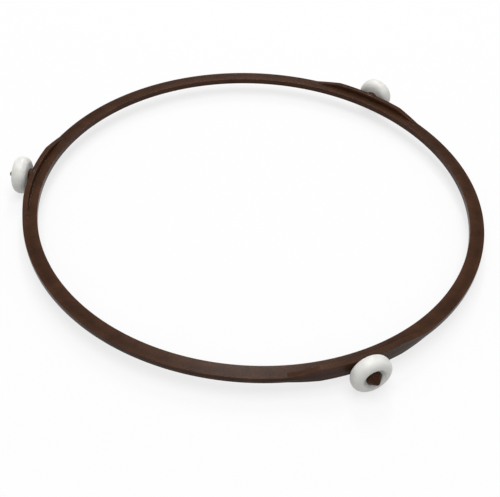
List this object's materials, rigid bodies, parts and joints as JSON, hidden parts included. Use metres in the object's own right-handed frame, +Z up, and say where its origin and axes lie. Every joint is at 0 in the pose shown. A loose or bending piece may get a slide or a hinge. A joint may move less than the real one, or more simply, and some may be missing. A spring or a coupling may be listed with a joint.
{
  "type": "microwave roller ring",
  "caption": "Thin flat plastic ring that carries small rollers on outward radial pins and turns on an oven floor under a round glass plate.",
  "frame": {"origin": "on the ring's axis, in the plane that the rollers stand on", "axes": "+Z up along the ring's axis; roller_1 lies towards -Y, and the rollers follow each other a third of a turn apart"},
  "size_m": [0.184, 0.1933, 0.0152],
  "materials": {
    "brown_plastic": "satin moulded dark brown plastic",
    "white_plastic": "smooth moulded white low-friction plastic"
  },
  "bodies": {
    "ring": {"carrier_ring": "brown_plastic"},
    "first_roller": {"roller_1": "white_plastic"},
    "second_roller": {"roller_2": "white_plastic"},
    "third_roller": {"roller_3": "white_plastic"}
  },
  "joints": [
    {"name": "roller_1_spin", "type": "hinge", "parent": "ring", "child": "first_roller", "pos_m": [0, -0.09605, 0.0076], "axis": [0, -1, 0], "continuous": true},
    {"name": "roller_2_spin", "type": "hinge", "parent": "ring", "child": "second_roller", "pos_m": [0.08318, 0.04802, 0.0076], "axis": [0.866, 0.5, 0], "continuous": true},
    {"name": "roller_3_spin", "type": "hinge", "parent": "ring", "child": "third_roller", "pos_m": [-0.08318, 0.04802, 0.0076], "axis": [-0.866, 0.5, 0], "continuous": true}
  ]
}
